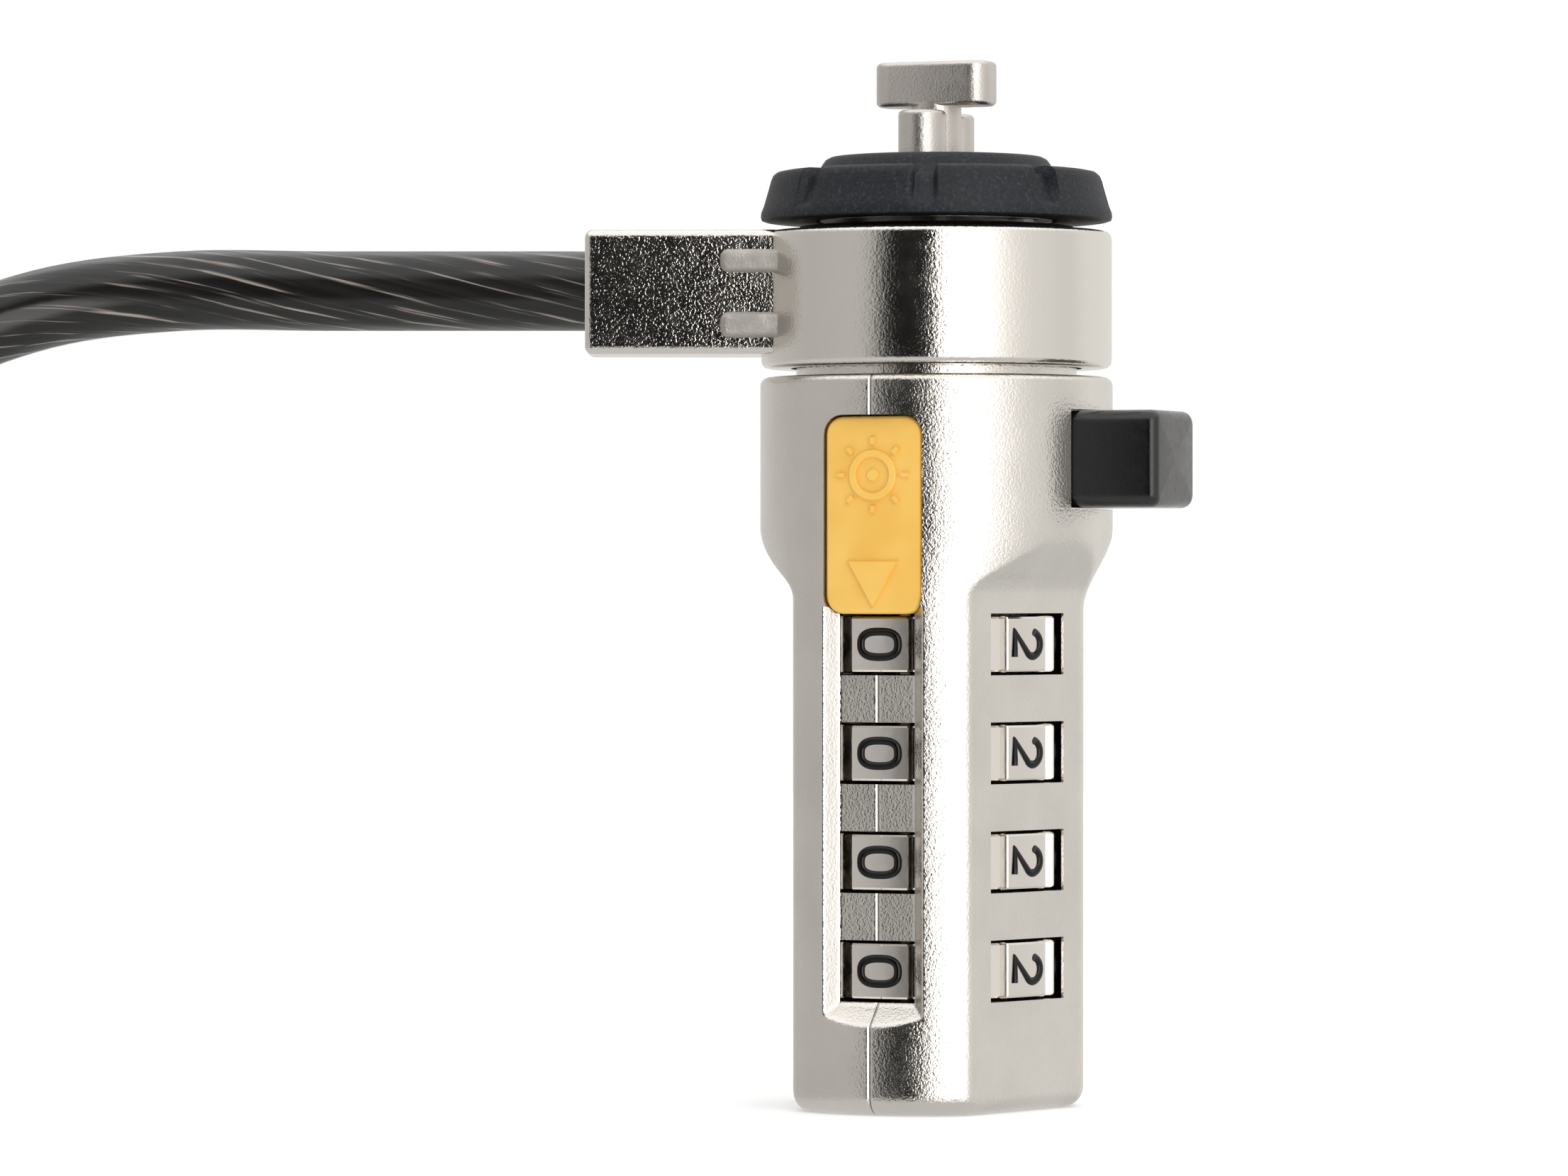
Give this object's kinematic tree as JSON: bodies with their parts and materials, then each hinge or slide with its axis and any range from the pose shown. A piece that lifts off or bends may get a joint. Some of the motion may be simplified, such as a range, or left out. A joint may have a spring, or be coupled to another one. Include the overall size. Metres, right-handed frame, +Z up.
{
  "type": "laptop cable lock",
  "caption": "Combination lock for a laptop: a turning T-bar behind a rubber washer, numbered wheels in a faceted casing, a lever, and a coiled steel cable on a swivel ring.",
  "frame": {"origin": "on the head axis, in the plane of the flat base", "axes": "+Z up along the head axis from the base to the T-bar, -X the way the cable leaves the swivel ring at rest, -Y towards the side from which the wheels are read"},
  "size_m": [0.1715, 0.0684, 0.0565],
  "materials": {
    "satin_nickel": "satin nickel plate on a cast casing, with a fine grain",
    "dark_nickel": "matt grey-brown nickel on hardened steel",
    "polished_nickel": "polished nickel with black filled digits",
    "steel": "plain steel",
    "brass": "machined brass",
    "black_plastic": "gloss black moulded plastic",
    "yellow_plastic": "satin yellow moulded plastic",
    "black_rubber": "matt blue-black rubber",
    "smoky_jacket": "clear smoky vinyl over twisted steel strands"
  },
  "bodies": {
    "lock_body": {"left_shell": "satin_nickel", "right_shell": "satin_nickel", "marker_insert": "yellow_plastic", "base_plug": "satin_nickel", "post_plate": "dark_nickel", "plate_screw_left": "steel", "plate_screw_right": "steel", "washer": "black_rubber", "dowel_pin_1": "steel", "dowel_pin_2": "steel", "dowel_pin_3": "steel", "spindle_spring": "steel", "detent_ball_1": "steel", "detent_spring_1": "steel", "detent_ball_2": "steel", "detent_spring_2": "steel", "detent_ball_3": "steel", "detent_spring_3": "steel", "detent_ball_4": "steel", "detent_spring_4": "steel"},
    "rotor": {"t_bar": "dark_nickel", "cam_hub": "brass", "hub_pin": "steel", "lever_knob": "black_plastic"},
    "spindle": {"spindle": "brass"},
    "reset": {"reset_pin": "steel"},
    "wheel_1": {"wheel_1": "polished_nickel", "code_sleeve_1": "brass"},
    "wheel_2": {"wheel_2": "polished_nickel", "code_sleeve_2": "brass"},
    "wheel_3": {"wheel_3": "polished_nickel", "code_sleeve_3": "brass"},
    "wheel_4": {"wheel_4": "polished_nickel", "code_sleeve_4": "brass"},
    "swivel": {"swivel_ring": "satin_nickel", "cable_plug": "steel", "cable_tube": "smoky_jacket", "cable_coil": "smoky_jacket", "cable_tail": "smoky_jacket", "loop_sleeve": "steel", "loop_eye": "smoky_jacket"}
  },
  "joints": [
    {"name": "lever_turn", "type": "hinge", "parent": "lock_body", "child": "rotor", "pos_m": [0, 0, 0.035], "axis": [0, 0, 1], "range_deg": [0, 90]},
    {"name": "spindle_slide", "type": "slide", "parent": "lock_body", "child": "spindle", "axis": [0, 0, 1], "range_m": [-0.0032, 0], "deforming": ["spindle_spring"]},
    {"name": "reset_push", "type": "slide", "parent": "lock_body", "child": "reset", "axis": [0.9962, -0.0872, 0], "range_m": [0, 0.0008], "stiffness_N_per_m": 200},
    {"name": "wheel_1_turn", "type": "hinge", "parent": "lock_body", "child": "wheel_1", "pos_m": [-0.00049, -0.00115, 0.025], "axis": [0, 0, 1], "continuous": true},
    {"name": "wheel_2_turn", "type": "hinge", "parent": "lock_body", "child": "wheel_2", "pos_m": [-0.00049, -0.00115, 0.0192], "axis": [0, 0, 1], "continuous": true},
    {"name": "wheel_3_turn", "type": "hinge", "parent": "lock_body", "child": "wheel_3", "pos_m": [-0.00049, -0.00115, 0.0134], "axis": [0, 0, 1], "continuous": true},
    {"name": "wheel_4_turn", "type": "hinge", "parent": "lock_body", "child": "wheel_4", "pos_m": [-0.00049, -0.00115, 0.0076], "axis": [0, 0, 1], "continuous": true},
    {"name": "ring_swivel", "type": "hinge", "parent": "lock_body", "child": "swivel", "pos_m": [0, 0, 0.0436], "axis": [0, 0, 1], "continuous": true}
  ],
  "couplings": [
    {"joint": "spindle_slide", "follows": "lever_turn", "m_per_rad": -0.0020372}
  ]
}
